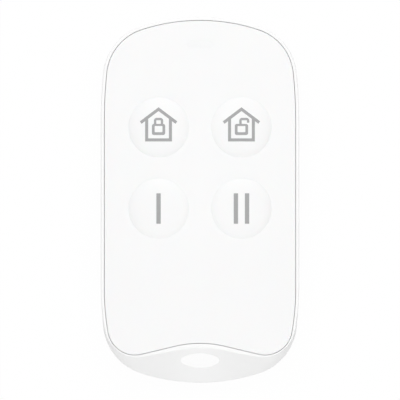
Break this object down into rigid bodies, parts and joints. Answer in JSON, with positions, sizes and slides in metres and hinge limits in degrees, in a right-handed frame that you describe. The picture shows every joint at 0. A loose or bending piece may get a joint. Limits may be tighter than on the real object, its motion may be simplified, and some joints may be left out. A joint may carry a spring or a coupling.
{
  "type": "alarm remote control",
  "caption": "Slim rounded alarm key fob with four domed keys in a soft front skin, a sloping lip with a key-ring slot, and a coin cell inside.",
  "frame": {"origin": "on the flat back, under the middle of the outline; the fob lies on its back", "axes": "+Z out of the front, +Y along the length towards the indicator end, X across the width"},
  "size_m": [0.033, 0.0608, 0.0122],
  "materials": {
    "case_plastic": "satin white moulded plastic",
    "soft_skin": "smooth white soft-touch skin",
    "lens_plastic": "milky translucent light guide",
    "board_laminate": "green solder mask",
    "spring_steel": "bright spring steel",
    "chip_resin": "black epoxy",
    "nickel_can": "nickel-plated sheet",
    "led_resin": "clear resin",
    "chip_ceramic": "fired ceramic",
    "cell_steel": "nickel-plated cell steel",
    "screw_steel": "zinc-plated steel",
    "switch_plastic": "black moulded plastic",
    "solder_lead": "tinned lead",
    "stem_plastic": "off-white moulded plastic"
  },
  "bodies": {
    "case": {"front_frame": "case_plastic", "rear_cover": "case_plastic", "key_panel": "soft_skin", "indicator_lens": "lens_plastic", "main_board": "board_laminate", "antenna_strip": "spring_steel", "radio_chip": "chip_resin", "crystal": "nickel_can", "status_led": "led_resin", "board_components": "chip_ceramic", "cell_can": "cell_steel", "cell_cap": "cell_steel", "battery_clip": "spring_steel", "battery_contact": "spring_steel", "case_screws": "screw_steel", "switch_bases": "switch_plastic", "switch_covers": "nickel_can", "switch_leads": "solder_lead", "snap_dome_arm": "spring_steel", "snap_dome_disarm": "spring_steel", "snap_dome_one": "spring_steel", "snap_dome_two": "spring_steel"},
    "key_arm": {"key_arm": "soft_skin", "stem_arm": "stem_plastic"},
    "key_disarm": {"key_disarm": "soft_skin", "stem_disarm": "stem_plastic"},
    "key_one": {"key_one": "soft_skin", "stem_one": "stem_plastic"},
    "key_two": {"key_two": "soft_skin", "stem_two": "stem_plastic"}
  },
  "joints": [
    {"name": "press_arm", "type": "slide", "parent": "case", "child": "key_arm", "axis": [0, 0, -1], "range_m": [0, 0.00035], "stiffness_N_per_m": 4000, "springref_m": -0.0001, "deforming": ["snap_dome_arm"]},
    {"name": "press_disarm", "type": "slide", "parent": "case", "child": "key_disarm", "axis": [0, 0, -1], "range_m": [0, 0.00035], "stiffness_N_per_m": 4000, "springref_m": -0.0001, "deforming": ["snap_dome_disarm"]},
    {"name": "press_one", "type": "slide", "parent": "case", "child": "key_one", "axis": [0, 0, -1], "range_m": [0, 0.00035], "stiffness_N_per_m": 4000, "springref_m": -0.0001, "deforming": ["snap_dome_one"]},
    {"name": "press_two", "type": "slide", "parent": "case", "child": "key_two", "axis": [0, 0, -1], "range_m": [0, 0.00035], "stiffness_N_per_m": 4000, "springref_m": -0.0001, "deforming": ["snap_dome_two"]}
  ]
}
